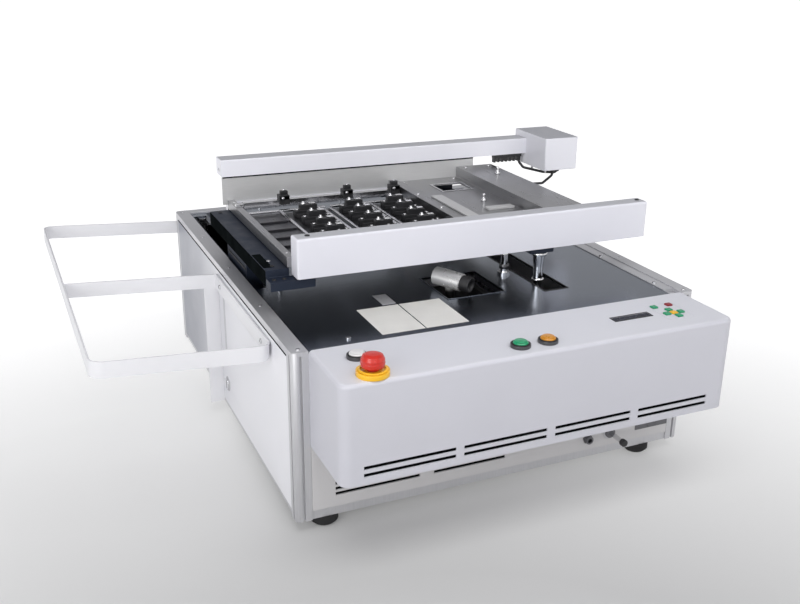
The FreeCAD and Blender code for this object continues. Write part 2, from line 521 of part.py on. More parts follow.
def tube(points, bend, r):
    P = [FreeCAD.Vector(*p) for p in points]
    edges, start = [], P[0]
    for i in range(1, len(P) - 1):
        a, b = (P[i - 1] - P[i]).normalize(), (P[i + 1] - P[i]).normalize()
        half = math.acos(max(-1, min(1, a.dot(b)))) / 2
        cutback = bend[i - 1] / math.tan(half)
        pa, pb = P[i] + a * cutback, P[i] + b * cutback
        bis = (a + b).normalize()
        centre = P[i] + bis * (bend[i - 1] / math.sin(half))
        edges.append(Part.LineSegment(start, pa).toShape())
        edges.append(Part.Arc(pa, centre - bis * bend[i - 1], pb).toShape())
        start = pb
    edges.append(Part.LineSegment(start, P[-1]).toShape())
    wire = Part.Wire(edges)
    d = (P[1] - P[0]).normalize()
    ringw = Part.Wire([Part.Circle(P[0], d, r).toShape()])
    solid = wire.makePipeShell([ringw], True, False)
    want = math.pi * r * r * wire.Length
    if abs(solid.Volume - want) > 0.03 * want:
        raise RuntimeError("cable volume is off")
    return solid


lead_a = tube([(307, 525.5, 418), (307, 525.5, 406), (314, 519, 395), (345, 490, 389), (370, 478, 388.5), (370, 478, 399.7)], [6, 10, 16, 7], 2.6)
lead_b = tube([(360, 478, 399.7), (360, 478, 384), (330, 466, 372), (275, 458, 376), (258, 458, 395), (239, 458, 395)], [8, 14, 14, 14], 2.6)
comb = fuse(box("245", "310", "rear_f", "rear_f+9", "rear_lo-6", "rear_lo"),
            *[box(str(x), str(x + 4), "rear_f", "rear_f+9", "rear_lo-15", "rear_lo-6") for x in range(246, 306, 9)])
gland = cyl("z", "12", "2.3", "365", "478", "399.7")
node("cable_harness", group(shaped(lead_a), shaped(lead_b), comb, gland))

# board rail with its three clips, sliding in Y on the carriage
rail_ = fuse(box("-290", "13", "463", "475", "378", "388"), box("-303", "-290", "464", "474", "381.4", "386"))
clips = [fuse(box("%g-9" % x, "%g+9" % x, "460", "463", "380", "396"), box("%g-9" % x, "%g+9" % x, "460", "478", "388", "396"),
              box("%g-4" % x, "%g+9" % x, "470", "478", "396", "402")) for x in (-215, -93, 2)]
node("board_rail", group(rail_, *clips))

# quarter-turn lock of the left access panel, turning on a pin in the panel
node("side_lock", cut(fuse(cyl("x", "11", "2.4", "-cab_w/2-2.8", "402", "72"), cyl("x", "4", "9", "-cab_w/2-0.4", "402", "72")),
                      box("-cab_w/2-4", "-cab_w/2-1.8", "400.6", "403.4", "64", "80")))

# fixings: deck screws, guard screws and box screws
screws = []
for x, y in ((-255, 29), (314, 60), (314, 220), (314, 420), (314, 640)):
    top = "deck_top" if x < 300 else "deck_top+1.5"
    screws.append(cyl("z", "4", "2", str(x), str(y), top))
for x in (-180, 0, 180):
    screws.append(cyl("z", "4", "2", str(x), "766", "deck_top"))
node("deck_fittings", group(*deck_pins, *screws))

# ---------------------------------------------------------------- build, test and write
doc.recompute()
for obj in doc.Objects:
    bad = [s for s in obj.State if s in ("Invalid", "Error")]
    if bad:
        raise RuntimeError("%s (%s) failed: %s" % (obj.Name, obj.Label, bad))
low, high = [1e9] * 3, [-1e9] * 3
for name, obj in NODES.items():
    shape = obj.Shape
    if shape.isNull() or not shape.isValid() or not shape.Solids:
        raise RuntimeError("bad shape in " + name)
    bb = shape.BoundBox
    for k, (a, b) in enumerate(((bb.XMin, bb.XMax), (bb.YMin, bb.YMax), (bb.ZMin, bb.ZMax))):
        low[k], high[k] = min(low[k], a), max(high[k], b)
os.makedirs("parts", exist_ok=True)
for old in os.listdir("parts"):
    if old.endswith(".step") and old[:-5] not in NODES:
        os.remove(os.path.join("parts", old))
for name, obj in NODES.items():
    obj.Shape.exportStep("parts/%s.step" % name)
print("nodes", len(NODES), "solids", sum(len(o.Shape.Solids) for o in NODES.values()))
print("box", [round(v, 2) for v in low], [round(v, 2) for v in high])
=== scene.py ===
import math
import bmesh
import bpy
from mathutils import Matrix, Vector


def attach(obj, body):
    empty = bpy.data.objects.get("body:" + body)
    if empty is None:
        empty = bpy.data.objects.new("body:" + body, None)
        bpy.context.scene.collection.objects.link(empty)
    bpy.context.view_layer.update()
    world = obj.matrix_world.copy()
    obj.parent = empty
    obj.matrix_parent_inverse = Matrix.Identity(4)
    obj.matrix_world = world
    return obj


# Looks of a bench soldering machine. Helper coordinates are millimetres in the
# cabinet's own layout: X = 0 on its centre plane, Y = 0 on its front face.
OX, OY = 108.25, -337.0
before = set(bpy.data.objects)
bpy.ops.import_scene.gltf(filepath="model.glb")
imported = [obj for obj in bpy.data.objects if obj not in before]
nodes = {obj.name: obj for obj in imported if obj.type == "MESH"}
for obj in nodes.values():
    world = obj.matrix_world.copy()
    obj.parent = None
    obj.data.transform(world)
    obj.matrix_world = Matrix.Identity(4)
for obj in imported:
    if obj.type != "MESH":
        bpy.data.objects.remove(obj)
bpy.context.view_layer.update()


def at(x, y, z):
    return Vector(((x + OX) / 1000.0, (y + OY) / 1000.0, z / 1000.0))


# ------------------------------------------------------------------ materials
def mk(name, base, rough=0.4, metal=0.0, var=0.05, scale=14.0, bump=0.0, bump_scale=900.0,
       stretch=(1.0, 1.0, 1.0), rough_var=0.08, coat=0.0, spec=0.5, wave=None, grime=0.0, painted_shade_ramp=None, painted_top_lighting=None):
    m = bpy.data.materials.new(name)
    m.use_nodes = True
    nt = m.node_tree
    bsdf = nt.nodes["Principled BSDF"]
    bsdf.inputs["Metallic"].default_value = metal
    bsdf.inputs["Specular IOR Level"].default_value = spec
    bsdf.inputs["Coat Weight"].default_value = coat
    bsdf.inputs["Coat Roughness"].default_value = 0.12
    tc = nt.nodes.new("ShaderNodeTexCoord")
    mp = nt.nodes.new("ShaderNodeMapping")
    mp.inputs["Scale"].default_value = stretch
    nt.links.new(tc.outputs["Object"], mp.inputs["Vector"])
    noise = nt.nodes.new("ShaderNodeTexNoise")
    noise.inputs["Scale"].default_value = scale
    noise.inputs["Detail"].default_value = 5.0
    nt.links.new(mp.outputs["Vector"], noise.inputs["Vector"])
    ramp = nt.nodes.new("ShaderNodeValToRGB")
    ramp.color_ramp.elements[0].position = 0.28
    ramp.color_ramp.elements[1].position = 0.72
    ramp.color_ramp.elements[0].color = tuple(max(0.0, c * (1 - var)) for c in base) + (1.0,)
    ramp.color_ramp.elements[1].color = tuple(min(1.0, c * (1 + var)) for c in base) + (1.0,)
    nt.links.new(noise.outputs["Fac"], ramp.inputs["Fac"])
    colour = ramp.outputs["Color"]
    if grime > 0:
        big = nt.nodes.new("ShaderNodeTexNoise")
        big.inputs["Scale"].default_value = 4.0
        big.inputs["Detail"].default_value = 6.0
        nt.links.new(tc.outputs["Object"], big.inputs["Vector"])
        span = nt.nodes.new("ShaderNodeMapRange")
        span.inputs["From Min"].default_value = 0.5
        span.inputs["From Max"].default_value = 0.8
        span.inputs["To Min"].default_value = 0.0
        span.inputs["To Max"].default_value = grime
        nt.links.new(big.outputs["Fac"], span.inputs["Value"])
        mix = nt.nodes.new("ShaderNodeMix")
        mix.data_type = "RGBA"
        nt.links.new(span.outputs["Result"], mix.inputs["Factor"])
        nt.links.new(colour, mix.inputs[6])
        mix.inputs[7].default_value = tuple(c * 0.6 for c in base) + (1.0,)
        colour = mix.outputs[2]
    # painted shade: darken toward a given colour along one object axis, between two values
    if painted_shade_ramp:
        sp = nt.nodes.new("ShaderNodeSeparateXYZ")
        nt.links.new(tc.outputs["Object"], sp.inputs["Vector"])
        fr = nt.nodes.new("ShaderNodeMapRange")
        fr.interpolation_type = "SMOOTHSTEP"
        fr.inputs["From Min"].default_value = painted_shade_ramp[0]
        fr.inputs["From Max"].default_value = painted_shade_ramp[1]
        nt.links.new(sp.outputs[painted_shade_ramp[3]], fr.inputs["Value"])
        amount = fr.outputs["Result"]
        if painted_shade_ramp[3] == "Y":
            # painted shade: only the faces that look left are darkened
            gf = nt.nodes.new("ShaderNodeNewGeometry")
            sf = nt.nodes.new("ShaderNodeSeparateXYZ")
            nt.links.new(gf.outputs["Normal"], sf.inputs["Vector"])
            lf = nt.nodes.new("ShaderNodeMapRange")
            lf.inputs["From Min"].default_value = -0.3
            lf.inputs["From Max"].default_value = -0.9
            nt.links.new(sf.outputs["X"], lf.inputs["Value"])
            both = nt.nodes.new("ShaderNodeMath")
            both.operation = "MULTIPLY"
            nt.links.new(amount, both.inputs[0])
            nt.links.new(lf.outputs["Result"], both.inputs[1])
            amount = both.outputs["Value"]
        fm = nt.nodes.new("ShaderNodeMix")
        fm.data_type = "RGBA"
        nt.links.new(amount, fm.inputs["Factor"])
        nt.links.new(colour, fm.inputs[6])
        fm.inputs[7].default_value = painted_shade_ramp[2] + (1.0,)
        colour = fm.outputs[2]
    if painted_top_lighting:
        # painted light and shade: faces that look up are mixed toward a given tone, darker on the beams and box,
        # lighter on the console
        ge = nt.nodes.new("ShaderNodeNewGeometry")
        su = nt.nodes.new("ShaderNodeSeparateXYZ")
        nt.links.new(ge.outputs["Normal"], su.inputs["Vector"])
        du = nt.nodes.new("ShaderNodeMapRange")
        du.inputs["From Min"].default_value = 0.75
        du.inputs["From Max"].default_value = 0.98
        nt.links.new(su.outputs["Z"], du.inputs["Value"])
        dm = nt.nodes.new("ShaderNodeMix")
        dm.data_type = "RGBA"
        nt.links.new(du.outputs["Result"], dm.inputs["Factor"])
        nt.links.new(colour, dm.inputs[6])
        dm.inputs[7].default_value = painted_top_lighting + (1.0,)
        colour = dm.outputs[2]
    nt.links.new(colour, bsdf.inputs["Base Color"])
    rr = nt.nodes.new("ShaderNodeMapRange")
    rr.inputs["From Min"].default_value = 0.3
    rr.inputs["From Max"].default_value = 0.7
    rr.inputs["To Min"].default_value = max(0.02, rough - rough_var)
    rr.inputs["To Max"].default_value = min(1.0, rough + rough_var)
    nt.links.new(noise.outputs["Fac"], rr.inputs["Value"])
    nt.links.new(rr.outputs["Result"], bsdf.inputs["Roughness"])
    height = None
    if wave:
        wv = nt.nodes.new("ShaderNodeTexWave")
        wv.wave_type = "BANDS"
        wv.bands_direction = wave[0]
        wv.inputs["Scale"].default_value = wave[1]
        nt.links.new(tc.outputs["Object"], wv.inputs["Vector"])
        height = wv.outputs["Fac"]
    elif bump > 0:
        fine = nt.nodes.new("ShaderNodeTexNoise")
        fine.inputs["Scale"].default_value = bump_scale
        fine.inputs["Detail"].default_value = 3.0
        nt.links.new(mp.outputs["Vector"], fine.inputs["Vector"])
        height = fine.outputs["Fac"]
    if height is not None:
        bp = nt.nodes.new("ShaderNodeBump")
        bp.inputs["Strength"].default_value = bump if bump > 0 else 0.6
        bp.inputs["Distance"].default_value = 0.0004
        nt.links.new(height, bp.inputs["Height"])
        nt.links.new(bp.outputs["Normal"], bsdf.inputs["Normal"])
    return m


WHITE = mk("paint_white", (0.77, 0.77, 0.81), 0.42, var=0.015, bump=0.05, bump_scale=1400, grime=0.06)
# painted shade: on left-facing faces the side panel paint darkens toward the back
SIDE = mk("paint_side", (0.83, 0.83, 0.865), 0.42, var=0.015, bump=0.05, bump_scale=1400, grime=0.06, painted_shade_ramp=(-0.06, 0.42, (0.30, 0.31, 0.355), "Y"))
# painted shade: upward faces in the beam and motor box paints are greyed
BEAM = mk("paint_beam", (0.79, 0.79, 0.845), 0.38, var=0.012, bump=0.05, bump_scale=1400, painted_top_lighting=(0.46, 0.465, 0.495))
FRONTB = mk("paint_front_beam", (0.70, 0.70, 0.755), 0.40, var=0.012, bump=0.05, bump_scale=1400, painted_top_lighting=(0.45, 0.455, 0.485))
BOX = mk("paint_box", (0.74, 0.74, 0.79), 0.40, var=0.012, bump=0.05, bump_scale=1400, painted_top_lighting=(0.40, 0.405, 0.44))
# painted shade: a darker, warmer copy of the white paint for the front panel under the console
UNDER = mk("paint_front_shaded", (0.60, 0.59, 0.595), 0.45, var=0.02, bump=0.05, bump_scale=1400, grime=0.08)
# painted light: the console's upward faces are mixed toward a lighter tone
CONSOLE = mk("paint_console", (0.575, 0.575, 0.625), 0.45, var=0.012, bump=0.06, bump_scale=1400, grime=0.04, painted_top_lighting=(0.655, 0.66, 0.705))
GUARD = mk("paint_guard", (0.76, 0.76, 0.785), 0.4, var=0.015, bump=0.04, bump_scale=1400)
PROFILE = mk("anodised_profile", (0.60, 0.60, 0.62), 0.42, 0.55, var=0.05, stretch=(60, 60, 2), scale=12, bump=0.05)
RAILTOP = mk("anodised_rail", (0.60, 0.60, 0.62), 0.40, 0.6, var=0.05, stretch=(60, 2, 60), scale=12, bump=0.05)
DECK = mk("deck_brushed", (0.228, 0.250, 0.292), 0.22, 1.0, var=0.05, stretch=(1.2, 90, 90), scale=16, bump=0.018,
          bump_scale=160, rough_var=0.03)
STEEL = mk("steel_brushed", (0.70, 0.70, 0.70), 0.46, 0.62, var=0.045, stretch=(2, 60, 60), scale=18, bump=0.025, bump_scale=200)
STEELY = mk("steel_brushed_long", (0.36, 0.36, 0.37), 0.30, 1.0, var=0.03, stretch=(40, 1.5, 40), scale=9, rough_var=0.03)
GROUND = mk("steel_ground", (0.60, 0.60, 0.62), 0.20, 1.0, var=0.06, stretch=(2, 40, 40), scale=20)
CHROME = mk("chrome_bright", (0.72, 0.72, 0.73), 0.10, 1.0, var=0.03, scale=60, rough_var=0.04)
DIM = mk("steel_dim", (0.17, 0.17, 0.18), 0.34, 1.0, var=0.10, scale=90)
# painted shade: everything below about 285 mm high turns near-black, the barrel's underside and the parts below the
# deck, pump rotor included
NOZZLE = mk("nozzle_steel", (0.97, 0.97, 0.97), 0.27, 0.55, var=0.02, scale=40, rough_var=0.02,
            painted_shade_ramp=(0.297, 0.285, (0.02, 0.02, 0.02), "Z"))
DARKAL = mk("dark_anodised", (0.012, 0.018, 0.034), 0.50, 0.0, var=0.10, scale=40, bump=0.04, spec=0.32)
CAST = mk("cast_dark", (0.05, 0.05, 0.052), 0.72, 0.3, var=0.25, scale=90, bump=0.35, bump_scale=700)
BLACK = mk("plastic_black", (0.018, 0.018, 0.020), 0.45, var=0.2, scale=80, bump=0.06)
SATIN = mk("paint_black", (0.02, 0.02, 0.022), 0.5, var=0.2, scale=60, bump=0.08)
# painted shade: matte black with no specular for the strips and sheets that stand in for shadow gaps and shaded faces
GLOOM = mk("matte_black_shade", (0.006, 0.0075, 0.008), 0.7, var=0.3, scale=30, spec=0.0)
RUBBER = mk("rubber_black", (0.015, 0.015, 0.016), 0.8, var=0.3, scale=150, bump=0.2)
# painted shade: near-black with no specular, for sheets that stand in for the shaded inside of the cabinet
VOID = mk("black_inside_shade", (0.004, 0.0045, 0.005), 0.9, var=0.3, scale=30, spec=0.0)
RED = mk("plastic_red", (0.56, 0.020, 0.010), 0.30, var=0.06, scale=60, coat=0.25)
YELLOW = mk("plastic_yellow", (0.88, 0.50, 0.02), 0.36, var=0.05, scale=60, coat=0.15)
GREEN = mk("plastic_green", (0.012, 0.30, 0.13), 0.30, var=0.08, scale=80, coat=0.3)
ORANGE = mk("plastic_orange", (0.60, 0.25, 0.015), 0.30, var=0.08, scale=80, coat=0.3)
PALE = mk("plastic_white", (0.72, 0.72, 0.72), 0.35, var=0.03, scale=80, coat=0.2)
BOARD = mk("board_green", (0.02, 0.13, 0.05), 0.5, var=0.25, scale=160)
LCD = mk("display_glass", (0.022, 0.024, 0.036), 0.30, var=0.25, scale=420, spec=0.12)
KEYRED = mk("key_red", (0.27, 0.018, 0.028), 0.42, var=0.06, scale=60)
BEZEL = mk("bezel_grey", (0.085, 0.085, 0.09), 0.36, 0.5, var=0.05, scale=60)
BRASS = mk("brass_pin", (0.72, 0.48, 0.16), 0.28, 1.0, var=0.08, scale=90)
THREADX = mk("thread_x", (0.52, 0.52, 0.54), 0.28, 1.0, wave=("X", 80.0), scale=50)
THREADY = mk("thread_y", (0.52, 0.52, 0.54), 0.28, 1.0, wave=("Y", 80.0), scale=50)
PALLET = mk("pallet_dark", (0.11, 0.11, 0.12), 0.34, 1.0, var=0.25, stretch=(60, 2, 60), scale=10, bump=0.06, bump_scale=150)
PLATE = mk("blank_plate", (0.72, 0.71, 0.68), 0.5, var=0.03, scale=40, bump=0.04)

LOOK = {
    "frame_posts": PROFILE, "top_rails": RAILTOP, "side_panels": SIDE, "rear_panel": WHITE, "front_panel": UNDER,
    "bottom_plate": STEEL, "deck_plate": DECK, "feet": RUBBER, "console_shell": CONSOLE, "estop_base": YELLOW,
    "button_bezels": BEZEL, "lcd_module": LCD, "circuit_boards": BOARD, "guard_frame": GUARD, "guard_bracket": GUARD,
    "solder_pot": CAST, "pot_cover": CAST, "solder_nozzle": NOZZLE, "drive_motors": SATIN, "power_supply": STEEL,
    "fan_housing": BLACK, "mains_inlet": BLACK, "front_fittings": DIM, "y_rails": GROUND, "deck_fittings": CHROME,
    "y_blocks": DARKAL, "side_beams": DARKAL, "stage_columns": CHROME, "x_rails": GROUND, "x_nut": DARKAL,
    "front_beam": FRONTB, "rear_beam": BEAM, "rear_plate": STEEL, "carriage_bars": STEELY, "tray_plate": STEELY,
    "motor_box": BOX, "x_motor": SATIN, "x_blocks": DARKAL, "pallet_plate": PALLET, "pallet_blocks": BLACK,
    "cable_harness": BLACK, "board_rail": GROUND, "x_screw": THREADX, "y_screw": THREADY, "pump_rotor": NOZZLE,
    "fan_rotor": BLACK, "power_switch": RED, "drain_rod": CHROME, "estop_head": RED, "button_start": GREEN,
    "button_cycle": ORANGE, "button_reset": PALE, "key_left": GREEN, "key_right": GREEN, "key_back": GREEN,
    "side_lock": CHROME, "key_front": GREEN, "key_enter": YELLOW, "key_stop": KEYRED, "key_menu": GREEN,
}
BEVEL = {"frame_posts": 0.5, "top_rails": 0.6, "side_panels": 0.5, "rear_panel": 0.5, "front_panel": 0.4,
         "guard_bracket": 0.5, "side_beams": 1.0, "x_rails": 0.6, "y_rails": 0.6, "rear_plate": 0.4,
         "carriage_bars": 0.7, "tray_plate": 0.4, "x_motor": 1.0, "x_blocks": 0.8, "pallet_plate": 0.4,
         "pallet_blocks": 1.0, "key_left": 1.2, "key_right": 1.2, "key_back": 1.2, "key_front": 1.2, "key_enter": 1.2,
         "key_stop": 1.2, "key_menu": 1.2, "x_nut": 0.6, "y_blocks": 0.8, "motor_box": 0.6, "power_supply": 0.8,
         "solder_pot": 1.0, "pot_cover": 0.6, "estop_base": 0.8, "button_bezels": 0.7, "front_fittings": 0.5,
         "drain_rod": 0.5, "deck_plate": 0.3, "side_lock": 0.4}
for name, obj in nodes.items():
    obj.data.materials.clear()
    obj.data.materials.append(LOOK[name])
    if name in BEVEL:
        w = obj.modifiers.new("weld", "WELD")
        w.merge_threshold = 0.00002
        b = obj.modifiers.new("edge", "BEVEL")
        b.width = BEVEL[name] / 1000.0
        b.segments = 2
        b.limit_method = "ANGLE"
        b.angle_limit = math.radians(50)
        b.harden_normals = True


# ------------------------------------------------------------------ piece helpers
def piece(name, bm, mat, body, smooth=True, weighted=True):
    bmesh.ops.recalc_face_normals(bm, faces=bm.faces)
    me = bpy.data.meshes.new(name)
    bm.to_mesh(me)
    bm.free()
    for p in me.polygons:
        p.use_smooth = smooth
    me.materials.append(mat)
    ob = bpy.data.objects.new(name, me)
    bpy.context.scene.collection.objects.link(ob)
    if smooth and weighted:
        wn = ob.modifiers.new("normals", "WEIGHTED_NORMAL")
        wn.keep_sharp = True
    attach(ob, body)
    return ob


def add_box(bm, x0, x1, y0, y1, z0, z1, r=0.5, seg=2, turn=None):
    a, b = at(x0, y0, z0), at(x1, y1, z1)
    made = bmesh.ops.create_cube(bm, size=1.0)
    verts = made["verts"]
    bmesh.ops.scale(bm, vec=b - a, verts=verts)
    if r > 0:
        edges = list({e for v in verts for e in v.link_edges})
        out = bmesh.ops.bevel(bm, geom=edges, offset=r / 1000.0, segments=seg, profile=0.5, affect="EDGES",
                              clamp_overlap=True)
        verts = list({v for f in out["faces"] for v in f.verts} | {v for v in verts if v.is_valid})
    if turn is not None:
        bmesh.ops.rotate(bm, cent=(0, 0, 0), matrix=turn, verts=verts)
    bmesh.ops.translate(bm, vec=(a + b) / 2, verts=verts)


def rbox(name, x0, x1, y0, y1, z0, z1, mat, body, r=0.5, seg=2):
    bm = bmesh.new()
    add_box(bm, x0, x1, y0, y1, z0, z1, r, seg)
    return piece(name, bm, mat, body)


def frame_of(axis):
    n = Vector(axis).normalized()
    u = n.orthogonal().normalized()
    return n, u, n.cross(u)


def add_lathe(bm, profile, centre, axis, n=40, spin=0.0):
    # profile of (radius, height) in mm along axis from centre; open ends are on the axis
    nrm, u, v = frame_of(axis)
    rings = []
    for r, h in profile:
        if r < 1e-6:
            rings.append([bm.verts.new(centre + nrm * (h / 1000.0))])
            continue
        rings.append([bm.verts.new(centre + nrm * (h / 1000.0)
                                   + (u * math.cos(spin + 2 * math.pi * i / n)
                                      + v * math.sin(spin + 2 * math.pi * i / n)) * (r / 1000.0)) for i in range(n)])
    for a, b in zip(rings, rings[1:]):
        for i in range(n):
            j = (i + 1) % n
            if len(a) == 1 and len(b) == 1:
                continue
            if len(a) == 1:
                bm.faces.new((a[0], b[i], b[j]))
            elif len(b) == 1:
                bm.faces.new((a[i], a[j], b[0]))
            else:
                bm.faces.new((a[i], a[j], b[j], b[i]))


def lathe(name, profile, centre, axis, mat, body, n=40):
    bm = bmesh.new()
    add_lathe(bm, profile, centre, axis, n)
    return piece(name, bm, mat, body)


def heads(name, spots, r, h, mat, body):
    # socket-head screws: bevelled discs with a six-sided recess
    bm = bmesh.new()
    for centre, axis in spots:
        nrm, u, v = frame_of(axis)
        n = 24

        def ring(rad, hh, hexa=False):
            out = []
            for i in range(n):
                a = 2 * math.pi * i / n
                k = rad
                if hexa:
                    k = rad * math.cos(math.pi / 6) / math.cos((a % (math.pi / 3)) - math.pi / 6)
                out.append(bm.verts.new(centre + nrm * (hh / 1000.0) + (u * math.cos(a) + v * math.sin(a)) * (k / 1000.0)))
            return out
        rings = [ring(r, 0.0), ring(r, h * 0.75), ring(r * 0.9, h), ring(r * 0.55, h, True), ring(r * 0.52, h * 0.35, True)]
        for a, b in zip(rings, rings[1:]):
            for i in range(n):
                bm.faces.new((a[i], a[(i + 1) % n], b[(i + 1) % n], b[i]))
        bm.faces.new(rings[-1])
        bm.faces.new(list(reversed(rings[0])))
    return piece(name, bm, mat, body, smooth=False)


def spline(points, steps=10):
    P = [Vector(p) for p in points]
    P = [P[0] * 2 - P[1]] + P + [P[-1] * 2 - P[-2]]
    out = []
    for i in range(1, len(P) - 2):
        for s in range(steps):
            t = s / steps
            a, b, c, d = P[i - 1], P[i], P[i + 1], P[i + 2]
            out.append(0.5 * ((2 * b) + (c - a) * t + (2 * a - 5 * b + 4 * c - d) * t * t + (3 * b - a - 3 * c + d) * t ** 3))
    out.append(P[-2])
    return out


def add_tube(bm, pts, r, n=12, ridge=None):
    prev_u, rings = None, []
    for i, p in enumerate(pts):
        d = (pts[min(i + 1, len(pts) - 1)] - pts[max(i - 1, 0)]).normalized()
        u = d.orthogonal().normalized() if prev_u is None else (prev_u - d * prev_u.dot(d)).normalized()
        prev_u, v = u, d.cross(u)
        k = r / 1000.0
        rings.append([bm.verts.new(p + (u * math.cos(2 * math.pi * j / n) + v * math.sin(2 * math.pi * j / n)) * k)
                      for j in range(n)])
    for a, b in zip(rings, rings[1:]):
        for j in range(n):
            bm.faces.new((a[j], a[(j + 1) % n], b[(j + 1) % n], b[j]))
    bm.faces.new(list(reversed(rings[0])))
    bm.faces.new(rings[-1])


# ------------------------------------------------------------------ cabinet details
# painted shade: near-black sheets behind the console and front vents, inside the rear panel and under the deck slots
rbox("console_vent_shade", -300, 300, -126.5, -125, 147, 178, VOID, "base", 0)
rbox("front_vent_shade", -300, 20, 4.5, 6, 46, 90, VOID, "base", 0)
rbox("rear_inside_shade", -318, -242, 795.4, 796.6, 60, 262, VOID, "base", 0)
rbox("deck_slot_shade_left", -322, -284, 286, 754, 225, 226, VOID, "base", 0)
rbox("deck_slot_shade_right", 115, 168, 80, 740, 185, 186, VOID, "base", 0)
# console: folded return lip under the front, joint line along the deck
rbox("console_lip", -322, 322, -118, -4, 141.5, 143, CONSOLE, "base", 0.4)
rbox("console_joint", -324, 324, -0.6, 0.6, 286, 291, SATIN, "base", 0)
# display frame, keypad foil and edge
bm = bmesh.new()
for x0, x1, y0, y1 in ((141.2, 142.8, -72.6, -54.9), (210.2, 211.8, -72.6, -54.9), (142.8, 210.2, -72.6, -71.0), (142.8, 210.2, -56.5, -54.9)):
    add_box(bm, x0, x1, y0, y1, 294.4, 295.3, 0.3)
piece("display_frame", bm, SATIN, "base")
bm = bmesh.new()
for x0, x1, y0, y1 in ((226, 275, -95.5, -93.5), (226, 275, -33.5, -31.5), (226, 228, -93.5, -33.5), (273, 275, -93.5, -33.5)):
    add_box(bm, x0, x1, y0, y1, 294.4, 294.8, 0.1, 1)
piece("keypad_outline", bm, CONSOLE, "base")
# emergency-stop trim: two rings and a grip groove
bm = bmesh.new()
add_lathe(bm, [(16.4, 310.5), (16.9, 311.3), (16.9, 313.2), (16.4, 314)], at(-271, -107, 0), (0, 0, 1), 48)
piece("estop_grip_rings", bm, RED, "estop_head")
lathe("estop_collar_ring", [(17, 301.5), (19.5, 301.5), (20.5, 302.3), (20.5, 303.2), (18, 303.6), (17, 303.6), (17, 301.5)],
      at(-271, -107, 0), (0, 0, 1), YELLOW, "base", 48)
for nm, x, y, mat in (("button_start", -41.3, -99.6, GREEN), ("button_cycle", 4.1, -100.0, ORANGE), ("button_reset", -270.6, -47.5, PALE)):
    lathe(nm + "_lens", [(8.6, 302.8), (9.4, 303.1), (9.4, 303.5), (8.2, 304.2), (0, 304.4)], at(x, y, 0), (0, 0, 1), mat, nm, 40)
    lathe(nm + "_rim", [(12.0, 299.5), (13.6, 299.5), (13.4, 300.6), (12.4, 300.9), (12.0, 300.6), (12.0, 299.5)], at(x, y, 0), (0, 0, 1), SATIN, "base", 40)
# left side: lock, screws and painted shade beside the bracket leg, a grey strip with a black top
lathe("side_lock_ring", [(11.4, 0), (14, 0), (13.4, 1.2), (11.4, 1.6), (11.4, 0)], at(-350, 402, 72), (-1, 0, 0), PROFILE, "base", 40)
rbox("side_lock_slot", -352.0, -351.75, 400.7, 403.3, 64.5, 79.5, SATIN, "side_lock", 0)
rbox("side_leg_shade", -350.5, -349.9, 393, 403, 110, 250, PROFILE, "base", 0.2)
rbox("side_leg_shade_top", -350.7, -349.9, 396, 403, 238, 268, SATIN, "base", 0.2)
heads("side_panel_screws", [(at(350, y, z), (1, 0, 0)) for y in (40, 280, 520, 762) for z in (42, 268)], 3.4, 1.6, CHROME, "base")
heads("rear_panel_screws", [(at(x, 800, z), (0, 1, 0)) for x in (-310, -100, 100, 310) for z in (42, 268)], 3.4, 1.6, CHROME, "base")
heads("post_caps_screws", [(at(x, y, 293), (0, 0, 1)) for x in (-337, 337) for y in (12, 788)], 3.6, 1.2, CHROME, "base")
heads("rail_screws", [(at(339, y, 293), (0, 0, 1)) for y in (200, 400, 600)] + [(at(-338, y, 293), (0, 0, 1)) for y in (200, 400, 600)],
      2.6, 0.8, CHROME, "base")
heads("deck_cap_screws", [(at(-255, 29, 292), (0, 0, 1)), (at(314, 60, 293.5), (0, 0, 1)), (at(314, 220, 293.5), (0, 0, 1)),
                          (at(314, 420, 293.5), (0, 0, 1)), (at(314, 640, 293.5), (0, 0, 1))]
      + [(at(x, 766, 292), (0, 0, 1)) for x in (-180, 0, 180)], 3.6, 0.8, CHROME, "base")
# painted shade: black strips in the shadow gap between the side panels and the top rails
rbox("rail_gap_shade_left", -350.15, -348.2, 26, 774, 279.6, 282.0, GLOOM, "base", 0)
rbox("rail_gap_shade_right", 348.2, 350.15, 26, 774, 279.6, 282.0, GLOOM, "base", 0)
# deck: bare plates, drip edge round the nozzle cut-out, seam
rbox("deck_plate_blank_a", -203, -133, 24, 132, 290, 290.5, PLATE, "base", 0.15, 1)
rbox("deck_plate_blank_b", -131, -60, 24, 132, 290, 290.5, PLATE, "base", 0.15, 1)
rbox("deck_tab", -156, -133, 138, 183, 290, 290.7, PROFILE, "base", 0.2, 1)
bm = bmesh.new()
for x0, x1, y0, y1 in ((-49, -47, 121, 235), (57, 59, 121, 235), (-47, 57, 121, 123), (-47, 57, 233, 235)):
    add_box(bm, x0, x1, y0, y1, 288.5, 290.9, 0.3)
piece("cutout_edge", bm, DECK, "base")
bm = bmesh.new()
for x0, x1, y0, y1 in ((119, 121, 98, 762), (164, 166, 98, 762), (121, 164, 98, 100), (121, 164, 760, 762)):
    add_box(bm, x0, x1, y0, y1, 288.5, 290.8, 0.3)
piece("slot_edge", bm, SATIN, "base")
# solder in the pot, nozzle band and darkened bore, base nut, flux tip and hex
rbox("solder_surface", -51.5, 61.5, 116.5, 259.5, 226, 228, CAST, "base", 0)
p0, ax = at(-39, 190, 309), Vector((31.0, -45.0, -4.0)).normalized()
